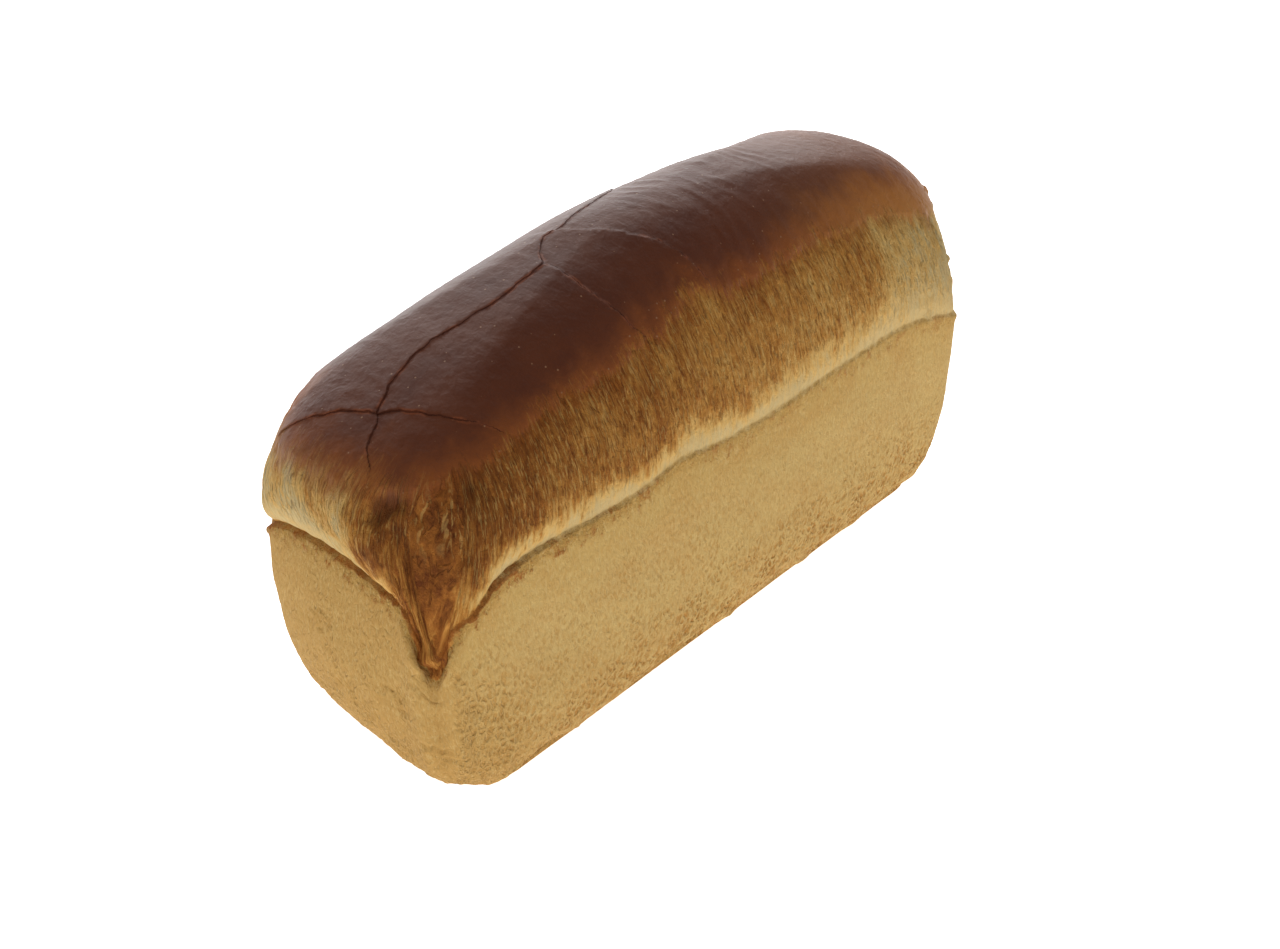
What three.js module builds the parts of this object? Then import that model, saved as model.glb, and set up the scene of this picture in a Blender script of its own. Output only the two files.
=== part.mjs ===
// Tin loaf: a high-topped sandwich loaf baked in an open tin, dark crust upwards.
// Millimetres, +Z up, +X along the length. The flat base lies on z = 0, centred on the origin.
import * as THREE from 'three';

// ---- The block that took the shape of the tin ---------------------------------------------
const LENGTH = 284;           // end to end at the line of the tin's rim
const WIDTH = 108;            // side to side at the same line
const RIM_Z = 94;             // height of the tin's rim at the corners, where the walls stop
const END_TAPER = 0.5;        // each end leans in by this much from rim to base
const SIDE_TAPER = 0.5;       // and each side by this much
const END_BULGE = 8;          // how far the middle of each end swells past its corners
const SIDE_BULGE = 2;         // the same for the long sides
const RIM_CORNER = 17;        // plan radius of the upright corners at the rim
const BASE_CORNER = 23;       // the same at the base, where the dough did not fill the tin
const BASE_INSET = 9;         // how far the rounded bottom edge draws in
const BASE_ROUND = 40;        // height over which it does so

// ---- The crown that rose clear of the tin -------------------------------------------------
const DOME = 72.5;            // rise of the crown above the rim
const DOME_POWER = 1.75;      // roundness of the crown across the loaf
const END_POWER = 8.5;        // roundness of the crown along the loaf
const END_SWELL = 2.6;        // how far the torn band swells past the rim at the ends
const NEAR_SWELL = 2.4;       // how much further it swells at the -X end
const SIDE_SWELL = 2.6;       // how far it swells along the sides
const BAND_CORNER = 36;       // plan radius of the band's corners, well rounder than the tin's
const SAG_NEAR = 0.35;        // share of the rise lost at the -X end
const SAG_FAR = 0.15;         // share of the rise lost at the +X end
const SAG_POWER = 1.6;        // how late along the loaf the crown starts to fall

// ---- The furrow between the two, and its necks at the corners -----------------------------
const RIM_ARCH = 2;           // how far the furrow arches up half-way along the loaf
const RIM_FALL = 11;          // how far it runs down towards the +X end
const RIM_FALL_POWER = 3;     // how late it starts to
const LIP_PROUD = 0.8;        // how far the browned lip stands past the wall
const LIP_HEIGHT = 5;         // height over which it does so
const FURROW_DEPTH = 3.6;     // how far the furrow cuts in
const FURROW_REACH = 0.05;    // share of the crown's rise over which it opens out again
const NECKS = [
  { end: -1, side: -1, dip: 23, pinch: 5 },
  { end: -1, side: 1, dip: 13, pinch: 3 },
  { end: 1, side: -1, dip: 3, pinch: 2 },
  { end: 1, side: 1, dip: 8, pinch: 3 },
];
const NECK_REACH = 20;        // plan distance over which a neck dies away
const NECK_FADE = 50;         // height either side of the rim over which both die away

// ---- How finely it is cut ------------------------------------------------------------------
const CORNER_STEPS = 6;       // facets round each upright corner
const SIDE_STEPS = 18;        // facets along each side
const HALF_END_STEPS = 4;     // facets across half of an end
const ROUND_ROWS = 6;         // rows round the bottom edge
const WALL_ROWS = 6;          // rows from there to the lip
const CROWN_ROWS = 14;        // rows from the furrow to the top
const CROWN_STOP = 0.985;     // share of the rise at which the top is closed across

const HALF_LENGTH = LENGTH / 2;
const HALF_WIDTH = WIDTH / 2;

const clamp01 = (value) => Math.min(Math.max(value, 0), 1);
const mix = (from, to, share) => from + (to - from) * share;
const smooth = (share) => { const t = clamp01(share); return t * t * (3 - 2 * t); };

/** The four arcs of a rounded rectangle in turn, each as [x sign, y sign, first quarter]. */
const ARCS = [[1, 1, 0], [-1, 1, 1], [-1, -1, 2], [1, -1, 3]];

/** A point on one arc, `turn` quarter turns round from +X. */
function arcPoint([signX, signY], turn, halfX, halfY, radius) {
  const angle = turn * Math.PI / 2;
  return [
    signX * (halfX - radius) + radius * Math.cos(angle),
    signY * (halfY - radius) + radius * Math.sin(angle),
  ];
}

/** `steps` points from one place towards another, leaving out the last. */
function run(from, to, steps) {
  return Array.from({ length: steps }, (_, i) => [
    mix(from[0], to[0], i / steps), mix(from[1], to[1], i / steps),
  ]);
}

/** A rounded rectangle starting on the +X axis, so that point i mirrors point n - i. */
function outline(halfX, halfY, wanted) {
  const radius = Math.min(wanted, halfX * 0.999, halfY * 0.999);
  const points = run([halfX, 0], arcPoint(ARCS[0], 0, halfX, halfY, radius), HALF_END_STEPS);
  ARCS.forEach((arc, index) => {
    for (let step = 0; step < CORNER_STEPS; step += 1) {
      points.push(arcPoint(arc, arc[2] + step / CORNER_STEPS, halfX, halfY, radius));
    }
    const from = arcPoint(arc, arc[2] + 1, halfX, halfY, radius);
    const next = ARCS[(index + 1) % 4];
    const to = index === 3 ? [halfX, 0] : arcPoint(next, next[2], halfX, halfY, radius);
    const steps = [SIDE_STEPS, 2 * HALF_END_STEPS, SIDE_STEPS, HALF_END_STEPS][index];
    points.push(...run(from, to, steps));
  });
  return points;
}

/** One row of the tin block at height z, with an extra outward offset. */
function wallRow(z, offset) {
  const rise = z / RIM_Z;
  const tuck = 1 - Math.sqrt(1 - clamp01(1 - z / BASE_ROUND) ** 2);
  const halfX = HALF_LENGTH - END_TAPER * (1 - rise) - BASE_INSET * tuck + offset;
  const halfY = HALF_WIDTH - SIDE_TAPER * (1 - rise) - BASE_INSET * tuck + offset;
  const belly = 4 * rise * (1 - rise);
  return outline(halfX, halfY, mix(RIM_CORNER, BASE_CORNER, (1 - rise) ** 2)).map(([x, y]) => {
    const along = END_BULGE * belly * clamp01(1 - (y / HALF_WIDTH) ** 2);
    const across = SIDE_BULGE * belly * clamp01(1 - (x / HALF_LENGTH) ** 2);
    return [x * (1 + along / HALF_LENGTH), y * (1 + across / HALF_WIDTH), z];
  });
}

/** One row of the crown, at a share of its rise. */
function crownRow(share) {
  const swell = Math.sin(Math.PI * share);
  const furrow = FURROW_DEPTH * Math.exp(-share / FURROW_REACH);
  const halfX = (HALF_LENGTH + END_SWELL * swell) * Math.sqrt(1 - share ** END_POWER) - furrow;
  const halfY = (HALF_WIDTH + SIDE_SWELL * swell) * Math.sqrt(1 - share ** DOME_POWER) - furrow;
  const corner = mix(RIM_CORNER, BAND_CORNER, clamp01(2 * share));
  return outline(halfX, halfY, corner).map(([x, y]) => {
    const along = x / HALF_LENGTH;
    const sag = (x < 0 ? SAG_NEAR : SAG_FAR) * Math.abs(along) ** SAG_POWER;
    const extra = NEAR_SWELL * swell * Math.min(along, 0) ** 2;
    return [x - extra, y, RIM_Z + share * DOME * (1 - sag)];
  });
}

/** Arches the line of the furrow, dips it at each corner and pinches the band in there. */
function neck([x, y, z], pinched) {
  const fade = smooth(1 - Math.abs(z - RIM_Z) / NECK_FADE);
  const along = x / HALF_LENGTH;
  const line = RIM_ARCH * (1 - along ** 2) - RIM_FALL * clamp01(along) ** RIM_FALL_POWER;
  let [newX, newY, newZ] = [x, y, z + fade * line];
  NECKS.forEach(({ end, side, dip, pinch }) => {
    const reach = Math.hypot(x - end * HALF_LENGTH, y - side * HALF_WIDTH) / NECK_REACH;
    const weight = fade * Math.exp(-reach * reach);
    newZ -= dip * weight;
    newX -= pinched * end * pinch * weight;
    newY -= pinched * side * pinch * weight;
  });
  return [newX, newY, newZ];
}

/** Every row from the base to the crown. */
function rows() {
  const bottom = Array.from({ length: ROUND_ROWS }, (_, i) => (
    wallRow(BASE_ROUND * (1 - Math.cos((i / ROUND_ROWS) * Math.PI / 2)), 0)));
  const walls = Array.from({ length: WALL_ROWS + 1 }, (_, i) => (
    wallRow(mix(BASE_ROUND, RIM_Z - LIP_HEIGHT, i / WALL_ROWS), 0)));
  const lip = [wallRow(RIM_Z - LIP_HEIGHT / 2, LIP_PROUD), wallRow(RIM_Z, LIP_PROUD / 2)];
  const crown = Array.from({ length: CROWN_ROWS }, (_, i) => (
    crownRow(CROWN_STOP * Math.sin(((i + 0.35) / (CROWN_ROWS - 0.65)) * Math.PI / 2))));
  return [
    ...[...bottom, ...walls, ...lip].map((row) => row.map((point) => neck(point, 0))),
    ...crown.map((row) => row.map((point) => neck(point, 1))),
  ];
}

/** Triangles between neighbouring rows, and across the base and the top. */
function triangles(rowCount, columns) {
  const index = [];
  const at = (row, column) => row * columns + (column % columns);
  for (let row = 0; row < rowCount - 1; row += 1) {
    for (let column = 0; column < columns; column += 1) {
      const [a, b] = [at(row, column), at(row, column + 1)];
      const [c, d] = [at(row + 1, column + 1), at(row + 1, column)];
      index.push(a, b, c, a, c, d);
    }
  }
  for (let column = 0; column < columns / 2; column += 1) {
    const [near, next] = [column, column + 1];
    const [farNext, far] = [columns - next, columns - near];
    [[0, true], [rowCount - 1, false]].forEach(([row, downwards]) => {
      const quad = [near, next, farNext, far].map((place) => at(row, place));
      cap(quad, downwards).forEach((triangle) => index.push(...triangle));
    });
  }
  return index;
}

/** The triangles of one strip across a row; at the two ends the strip is a single triangle. */
function cap([near, next, farNext, far], downwards) {
  const faces = [];
  if (near !== far) faces.push([near, next, far]);
  if (next !== farNext) faces.push([next, farNext, far]);
  return downwards ? faces.map(([a, b, c]) => [a, c, b]) : faces;
}

/** Moves the rows so that the box they fill is centred on the origin. */
function centred(allRows) {
  const xs = allRows.flat().map((point) => point[0]);
  const shift = (Math.max(...xs) + Math.min(...xs)) / 2;
  return allRows.map((row) => row.map(([x, y, z]) => [x - shift, y, z]));
}

/** The whole loaf as one closed skin. */
function loafGeometry() {
  const allRows = centred(rows());
  const geometry = new THREE.BufferGeometry();
  const positions = allRows.flat().flat();
  geometry.setAttribute('position', new THREE.Float32BufferAttribute(positions, 3));
  geometry.setIndex(triangles(allRows.length, allRows[0].length));
  geometry.computeVertexNormals();
  return geometry;
}

const crust = new THREE.MeshStandardMaterial({ color: 0xb98545, roughness: 0.75, metalness: 0 });
const loaf = new THREE.Mesh(loafGeometry(), crust);
loaf.name = 'loaf';

const root = new THREE.Group();
root.name = 'tin_loaf';
root.add(loaf);

export default root;
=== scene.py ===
"""A tin loaf: pale walls shaped by the tin, a torn band above them and a dark cracked crown.

The loaf is one skin. A finely cut box is cast onto the loaf's form, then the walls, the torn
band and the crown each add their own relief, and one procedural finish colours all three.
Lengths are in millimetres in the form's own sums, and in metres on every Blender object.
"""

import logging
import math
from dataclasses import dataclass, field
from enum import Enum
from functools import reduce
from typing import Any, Callable, Sequence, Union

import bpy
import numpy as np
from mathutils import Matrix, Vector


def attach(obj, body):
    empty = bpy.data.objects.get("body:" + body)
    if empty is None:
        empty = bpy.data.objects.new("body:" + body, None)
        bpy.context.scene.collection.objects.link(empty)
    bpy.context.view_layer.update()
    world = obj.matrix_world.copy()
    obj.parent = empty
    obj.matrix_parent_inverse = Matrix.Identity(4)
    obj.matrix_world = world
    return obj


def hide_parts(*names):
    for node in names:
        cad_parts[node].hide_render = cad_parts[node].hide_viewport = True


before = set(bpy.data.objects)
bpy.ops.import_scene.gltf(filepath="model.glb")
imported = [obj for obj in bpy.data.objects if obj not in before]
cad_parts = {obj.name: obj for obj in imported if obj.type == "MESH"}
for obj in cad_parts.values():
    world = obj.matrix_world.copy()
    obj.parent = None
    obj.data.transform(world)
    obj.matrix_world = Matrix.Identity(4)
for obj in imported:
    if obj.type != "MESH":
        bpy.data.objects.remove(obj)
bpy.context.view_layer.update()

log = logging.getLogger("tin_loaf")

MM = 0.001

Array = np.ndarray
Triple = tuple[float, float, float]
Colour = Triple
Sizes = Union[float, Sequence[float]]

WHITE: Colour = (1.0, 1.0, 1.0)


# ---- Small sums ----------------------------------------------------------------------------


def clamp01(value: Array) -> Array:
    """Limits every number to the range 0 to 1."""
    return np.clip(value, 0.0, 1.0)


def blend(low: Any, high: Any, share: Any) -> Any:
    """The value that lies the given share of the way from low to high."""
    return low + (high - low) * share


def ease(value: Array, start: float, stop: float) -> Array:
    """Rises smoothly from 0 at start to 1 at stop.

    Args:
        value: Where on the way each point is.
        start: The value at which the rise begins.
        stop: The value at which it is complete; it may be below start.

    Returns:
        A share for each value.
    """
    share = clamp01((value - start) / (stop - start))
    return share * share * (3.0 - 2.0 * share)


def hump(distance: Array, reach: float) -> Array:
    """A soft bell: 1 at no distance, fading out over about twice the reach."""
    return np.exp(-((distance / reach) ** 2))


def last_inside(low: Array, high: Array, halvings: int, outside: Callable[[Array], Array]) -> Array:
    """Halves each range until it closes in on the skin.

    Args:
        low: A value that lies inside, for each range.
        high: A value that lies outside.
        halvings: How many times each range is halved.
        outside: Gives the distance outside at a value of each range, negative inside.

    Returns:
        The last value inside, for each range.
    """
    for _ in range(halvings):
        middle = (low + high) / 2.0
        beyond = outside(middle) > 0.0
        high = np.where(beyond, middle, high)
        low = np.where(beyond, low, middle)
    return low


class Grain:
    """Seeded solid noise, for relief that looks baked rather than machined."""

    TABLE = 256

    def __init__(self, seed: int) -> None:
        """Shuffles the tables.

        Args:
            seed: Which grain this is; the same seed always gives the same relief.
        """
        rng = np.random.default_rng(seed)
        self.order = np.tile(rng.permutation(self.TABLE), 2).astype(np.int32)
        ways = rng.normal(size=(self.TABLE, 3))
        self.ways = (ways / np.linalg.norm(ways, axis=1)[:, None]).astype(np.float32)
        self.spots = rng.random((self.TABLE, 3)).astype(np.float32)

    def _key(self, cell: Array) -> Array:
        """One table index for each whole-number cell."""
        x, y, z = (cell & (self.TABLE - 1)).T
        return self.order[self.order[self.order[x] + y] + z]

    def rough(self, points: Array, size: Sizes) -> Array:
        """Smooth gradient noise.

        Args:
            points: Where to read it, one row each.
            size: The grain's size, one number or one for each axis.

        Returns:
            Values of about -1 to 1, averaging 0.
        """
        spot = (points / np.asarray(size, dtype=np.float32)).astype(np.float32)
        cell = np.floor(spot).astype(np.int32)
        part = spot - cell
        fade = part * part * part * (part * (part * 6.0 - 15.0) + 10.0)
        total = np.zeros(len(points), dtype=np.float32)
        for corner in np.ndindex(2, 2, 2):
            offset = np.array(corner, dtype=np.int32)
            slope = np.einsum("ij,ij->i", self.ways[self._key(cell + offset)], part - offset)
            weight = np.prod(np.where(offset == 1, fade, 1.0 - fade), axis=1)
            total += weight * slope
        return total * 1.6

    def layered(self, points: Array, size: Sizes, layers: int) -> Array:
        """Gradient noise with finer layers added, each half the size and strength."""
        size = np.asarray(size, dtype=np.float32)
        total = sum(self.rough(points + 17.3 * n, size / 2**n) / 2**n for n in range(layers))
        return total / 1.4

    def warp(self, points: Array, step: float, size: float) -> Array:
        """Three noises side by side, read a step apart, to wander positions by."""
        return np.column_stack([self.rough(points + step * n, size) for n in range(3)])

    def dimples(self, points: Array, size: Sizes) -> Array:
        """Distance to the nearest of many scattered spots.

        Args:
            points: Where to read it, one row each.
            size: Mean spacing of the spots, one number or one for each axis.

        Returns:
            The distance, in spacings, for each point.
        """
        spot = (points / np.asarray(size, dtype=np.float32)).astype(np.float32)
        cell = np.floor(spot).astype(np.int32)
        part = spot - cell
        nearest = np.full(len(points), 9.0, dtype=np.float32)
        for corner in np.ndindex(3, 3, 3):
            offset = np.array(corner, dtype=np.int32) - 1
            gap = self.spots[self._key(cell + offset)] + offset - part
            nearest = np.minimum(nearest, np.einsum("ij,ij->i", gap, gap))
        return np.sqrt(nearest)


# ---- The form of the loaf -------------------------------------------------------------------


@dataclass(frozen=True)
class TinBlock:
    """The part of the loaf that took the shape of the tin."""

    half_length: float = 142.0
    half_width: float = 54.0
    rim: float = 94.0
    end_taper: float = 0.5
    side_taper: float = 0.5
    end_bulge: float = 8.0
    side_bulge: float = 2.0
    rim_corner: float = 17.0
    base_corner: float = 23.0
    base_inset: float = 9.0
    base_round: float = 40.0
    lip_proud: float = 0.4
    lip_height: float = 5.0

    def outside(self, points: Array) -> Array:
        """How far each point lies outside the block's walls.

        Args:
            points: Positions before the rim line is bent.

        Returns:
            A distance that is negative inside.
        """
        x, y, z = points.T
        rise = clamp01(z / self.rim)
        tuck = 1.0 - np.sqrt(1.0 - clamp01(1.0 - z / self.base_round) ** 2)
        lip = self.lip_proud * ease(z, self.rim - self.lip_height, self.rim - 1.0)
        half_x = self.half_length - self.end_taper * (1.0 - rise) - self.base_inset * tuck + lip
        half_y = self.half_width - self.side_taper * (1.0 - rise) - self.base_inset * tuck + lip
        belly = 4.0 * rise * (1.0 - rise)
        along = self.end_bulge * belly * clamp01(1.0 - (y / self.half_width) ** 2)
        across = self.side_bulge * belly * clamp01(1.0 - (x / self.half_length) ** 2)
        return rounded_box(
            x / (1.0 + along / self.half_length),
            y / (1.0 + across / self.half_width),
            half_x,
            half_y,
            blend(self.rim_corner, self.base_corner, (1.0 - rise) ** 2),
        )


@dataclass(frozen=True)
class Crown:
    """The part of the loaf that rose clear of the tin."""

    rise: float = 72.5
    across_power: float = 1.75
    along_power: float = 8.5
    end_swell: float = 2.6
    near_swell: float = 2.4
    side_swell: float = 2.6
    corner: float = 36.0
    sag_near: float = 0.35
    sag_far: float = 0.15
    sag_power: float = 1.6
    furrow_end: float = 2.6
    furrow_near: float = 1.8
    furrow_far: float = 0.3
    furrow_reach: float = 0.05
    furrow_change: tuple[float, float] = (-50.0, -115.0)
    neck_full: float = 9.0
    neck_clear: float = 24.0

    def share(self, points: Array, block: TinBlock) -> Array:
        """How much of the crown's local rise lies below each point."""
        x, _, z = points.T
        along = np.abs(x / block.half_length) + 1e-6
        sag = np.where(x < 0.0, self.sag_near, self.sag_far) * along**self.sag_power
        return (z - block.rim) / (self.rise * (1.0 - np.minimum(sag, 0.9)))

    def outside(self, points: Array, block: TinBlock) -> Array:
        """How far each point above the rim lies outside the crown.

        Args:
            points: Positions before the rim line is bent.
            block: The block that the crown rises from.

        Returns:
            A distance that is negative inside.
        """
        x, y, _ = points.T
        share = clamp01(self.share(points, block))
        swell = np.sin(np.pi * share)
        depth = blend(self.furrow_far, self.furrow_near, ease(x, *self.furrow_change))
        by_end = ease(x, -0.9 * block.half_length, -block.half_length)
        depth = np.maximum(depth, self.furrow_end * by_end)
        closeness = np.hypot(x + block.half_length, y + block.half_width)
        depth *= ease(closeness, self.neck_full, self.neck_clear)
        furrow = depth * np.exp(-share / self.furrow_reach)
        half_x = (block.half_length + self.end_swell * swell) * np.sqrt(
            1.0 - share**self.along_power
        )
        half_y = (block.half_width + self.side_swell * swell) * np.sqrt(
            1.0 - share**self.across_power
        )
        near = self.near_swell * swell * np.minimum(x / block.half_length, 0.0) ** 2
        return rounded_box(
            x + near,
            y,
            np.maximum(half_x - furrow, 0.0),
            np.maximum(half_y - furrow, 0.0),
            blend(block.rim_corner, self.corner, clamp01(2.0 * share)),
        )


def rounded_box(x: Array, y: Array, half_x: Array, half_y: Array, corner: Array) -> Array:
    """Distance outside a rounded rectangle, negative inside.

    Args:
        x: Position along the loaf.
        y: Position across it.
        half_x: Half the rectangle's length.
        half_y: Half its width.
        corner: Radius of its corners, made smaller where they would not fit.

    Returns:
        The distance for each point.
    """
    corner = np.minimum(corner, np.minimum(half_x, half_y))
    past_x = np.abs(x) - (half_x - corner)
    past_y = np.abs(y) - (half_y - corner)
    beyond = np.hypot(np.maximum(past_x, 0.0), np.maximum(past_y, 0.0))
    return beyond + np.minimum(np.maximum(past_x, past_y), 0.0) - corner


@dataclass(frozen=True)
class Neck:
    """A corner where the furrow dips and the band above it is pinched in.

    The tip says how far in from the corner, along and across, the neck stands.
    """

    end: int
    side: int
    dip: float
    pinch: float
    lean: float
    tip: tuple[float, float] = (0.0, 0.0)
    sharp: bool = False


class Corner(Enum):
    """The four upright corners of the loaf."""

    NEAR_FRONT = Neck(end=-1, side=-1, dip=20.0, pinch=0.0, lean=0.5, tip=(1.5, 8.5), sharp=True)
    NEAR_BACK = Neck(end=-1, side=1, dip=14.0, pinch=2.0, lean=0.4)
    FAR_FRONT = Neck(end=1, side=-1, dip=4.0, pinch=1.5, lean=0.3)
    FAR_BACK = Neck(end=1, side=1, dip=12.0, pinch=2.0, lean=0.3)


@dataclass
class Skin:
    """Every point of the loaf's skin, with what the reliefs and the finish need to know of it."""

    flat: Array
    placed: Array
    normals: Array
    climb: Array
    share: Array
    strand: Array
    crust: Array = field(init=False)
    pits: Array = field(init=False)
    tissue: Array = field(init=False)
    hollow: Array = field(init=False)
    cracks: Array = field(init=False)
    close: Array = field(init=False)


@dataclass(frozen=True)
class LoafForm:
    """The loaf's smooth form, without its fine relief."""

    block: TinBlock = TinBlock()
    crown: Crown = Crown()
    rim_arch: float = 4.0
    rim_fall: float = 11.0
    rim_waves: tuple[Triple, ...] = (
        (-104.0, 3.8, 26.0),
        (-36.0, 2.8, 12.0),
        (12.0, -2.8, 32.0),
        (95.0, 3.0, 26.0),
    )
    front_from: float = 10.0
    front_full: float = -0.7
    near_from: float = -0.8
    near_full: float = -0.97
    end_drop: float = 1.3
    end_arch: float = 9.5
    end_arch_at: float = -8.0
    neck_reach: float = 9.0
    neck_power: float = 1.2
    sharp_reach: float = 5.2
    sharp_power: float = 2.3
    neck_fade: float = 50.0
    ray_low: float = 40.0
    ray_high: float = 100.0
    strand_core: float = 30.0
    lean_reach: float = 40.0
    most_lean: float = 0.6
    halvings: int = 22

    def outside(self, points: Array) -> Array:
        """How far each point lies outside the unbent loaf, negative inside."""
        below = self.block.outside(points)
        above = self.crown.outside(points, self.block)
        walls = np.where(points[:, 2] < self.block.rim, below, above)
        return np.maximum(walls, -points[:, 2])

    def cast(self, box: Array) -> Array:
        """Moves the points of a unit box onto the unbent form.

        Args:
            box: Points on the faces of the box from -1 to 1 along each axis.

        Returns:
            The point of the form that lies the same way from the loaf's core.
        """
        top = self.block.rim + self.crown.rise
        aim = box * [self.block.half_length, self.block.half_width, top / 2.0]
        aim[:, 2] += top / 2.0
        core = self.block.half_length - self.block.half_width
        start = np.zeros_like(aim)
        start[:, 0] = np.clip(aim[:, 0], -core, core)
        start[:, 2] = np.clip(aim[:, 2], self.ray_low, self.ray_high)
        way = aim - start
        low, high = np.zeros(len(aim)), np.full(len(aim), 2.0)
        low = last_inside(
            low, high, self.halvings, lambda share: self.outside(start + way * share[:, None])
        )
        return start + way * low[:, None]

    def bend(self, points: Array) -> Array:
        """Arches the rim line, dips it at each corner and pinches the band in there.

        Args:
            points: Positions on the unbent form.

        Returns:
            Their places on the loaf.
        """
        x, y, z = points.T
        along = x / self.block.half_length
        fade = ease(np.abs(z - self.block.rim), self.neck_fade, 0.0)
        pinched = ease(z, self.block.rim - 0.5, self.block.rim + 0.5)
        line = self.rim_arch * (1.0 - along**2) - self.rim_fall * clamp01(along) ** 3
        near_end = ease(along, self.near_from, self.near_full)
        arch = self.end_arch * ((y - self.end_arch_at) / self.block.half_width) ** 2
        line -= near_end * (self.end_drop + arch)
        in_front = ease(y, self.front_from, self.front_full * self.block.half_width)
        for place, rise, reach in self.rim_waves:
            line += in_front * rise * hump(x - place, reach)
        moved = points.copy()
        moved[:, 2] += fade * line
        for corner in Corner:
            neck = corner.value
            reach = self.sharp_reach if neck.sharp else self.neck_reach
            power = self.sharp_power if neck.sharp else self.neck_power
            weight = fade * np.exp(-((self.from_corner(points, neck) / reach) ** power))
            moved[:, 0] -= pinched * neck.end * neck.pinch * weight
            moved[:, 1] -= pinched * neck.side * neck.pinch * weight
            moved[:, 2] -= neck.dip * weight
        return moved

    def from_corner(self, points: Array, neck: Neck) -> Array:
        """Distance in plan from each point to the neck at one corner of the rim."""
        return np.hypot(
            points[:, 0] - neck.end * (self.block.half_length - neck.tip[0]),
            points[:, 1] - neck.side * (self.block.half_width - neck.tip[1]),
        )

    def strands(self, points: Array, climb: Array) -> Array:
        """The place at the furrow where the fibre through each point starts.

        Fibres run straight up the band, and lean away from the necks as they climb.

        Args:
            points: Positions on the unbent form.
            climb: Height of each over the rim.

        Returns:
            For each point the foot of its fibre, with the climb as third number.
        """
        plan = points[:, :2]
        halves = np.array([self.block.half_length, self.block.half_width])
        core = np.clip(plan, self.strand_core - halves, halves - self.strand_core)
        away = plan - core
        reach = np.maximum(np.linalg.norm(away, axis=1, keepdims=True), 1e-6)
        out = away / reach
        foot = core + out * self.strand_core
        for corner in Corner:
            neck = corner.value
            tip = halves * [neck.end, neck.side]
            gap = tip - foot
            fade = np.exp(-np.linalg.norm(gap, axis=1) / self.lean_reach)
            gap -= np.sum(gap * out, axis=1, keepdims=True) * out
            distance = np.linalg.norm(gap, axis=1) + 1e-6
            pull = neck.lean * np.maximum(climb, 0.0) * fade / distance
            foot = foot + gap * np.minimum(pull, self.most_lean)[:, None]
        return np.column_stack([foot, climb])


# ---- Relief ----------------------------------------------------------------------------------


@dataclass(frozen=True)
class TinWalls:
    """Relief of the pale walls: soft dents, baked pits and a wavy bottom edge."""

    wave: float = 0.6
    wave_size: float = 24.0
    pit_depth: float = 0.75
    pit_size: Triple = (3.4, 3.4, 4.8)
    worm_depth: float = 0.7
    worm_size: float = 7.0
    fine_depth: float = 0.16
    edge_wave: float = 4.6
    edge_size: float = 24.0
    edge_height: float = 16.0
    corner_edge: float = 3.6
    corner_at: float = 5.0
    corner_reach: float = 5.0
    seed: int = 11

    def relief(self, skin: Skin, form: LoafForm) -> Array:
        """Height of the walls' relief at each point; the pits' depth is kept on the skin.

        Args:
            skin: The loaf's skin.
            form: The form it lies on.

        Returns:
            The height at each point.
        """
        grain = Grain(self.seed)
        on_wall = skin.climb < 0.0
        points = skin.flat[on_wall]
        depth = -skin.climb[on_wall] / form.block.rim
        warp = grain.warp(points, 31.0, 9.0)
        spots = grain.dimples(points + 1.5 * warp, self.pit_size)
        by_corner = hump(form.from_corner(points, Corner.NEAR_FRONT.value), 30.0)
        low = np.maximum(ease(depth, 0.5, 0.92), ease(depth, 0.2, 0.6) * by_corner)
        pitted = low * ease(grain.rough(points, 26.0), -0.7, 0.4)
        pits = pitted * ease(spots, 0.62, 0.15)
        worms = 1.0 - np.abs(grain.rough(points + 3.0 * warp, self.worm_size)) * 3.0
        on_end = ease(points[:, 0], -120.0, -140.0) * ease(depth, 0.1, 0.3)
        worms = clamp01(worms) * on_end * ease(grain.rough(points + 40.0, 18.0), 0.0, 0.4)
        fine = self.fine_depth * grain.rough(points, (1.7, 1.7, 2.6)) * ease(depth, 0.02, 0.4)
        waves = self.wave * grain.rough(points, self.wave_size) * ease(depth, 0.0, 0.3)
        near_edge = ease(points[:, 2], self.edge_height, 2.0) * ease(points[:, 2], 0.0, 1.5)
        dents = -self.edge_wave * np.abs(grain.rough(points + 7.0, self.edge_size)) * near_edge
        gap = form.from_corner(points, Corner.NEAR_FRONT.value) - self.corner_at
        sharp = self.corner_edge * hump(gap, self.corner_reach) * ease(depth, 0.0, 0.1)
        sharp *= ease(points[:, 2], 4.0, 30.0)
        total = np.zeros(len(skin.climb))
        sunk = -self.pit_depth * pits - self.worm_depth * worms
        total[on_wall] = (sunk + fine + waves) * ease(points[:, 2], 0.0, 1.0) + dents + sharp
        skin.pits = np.zeros(len(skin.climb))
        skin.pits[on_wall] = np.maximum(pits, worms * 0.8)
        return total


@dataclass(frozen=True)
class Hollow:
    """A local hollow in the skin, or a knob where its depth is negative. A hollow may also get
    painted shade.
    """

    place: Triple
    reach: float
    depth: float
    painted_shade: bool = True

    def share(self, points: Array) -> Array:
        """How much of the hollow each point has, from 0 to 1; the skin nearest it has all."""
        gap = np.linalg.norm(points - self.place, axis=1)
        return hump(gap - gap.min(), self.reach)


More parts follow.
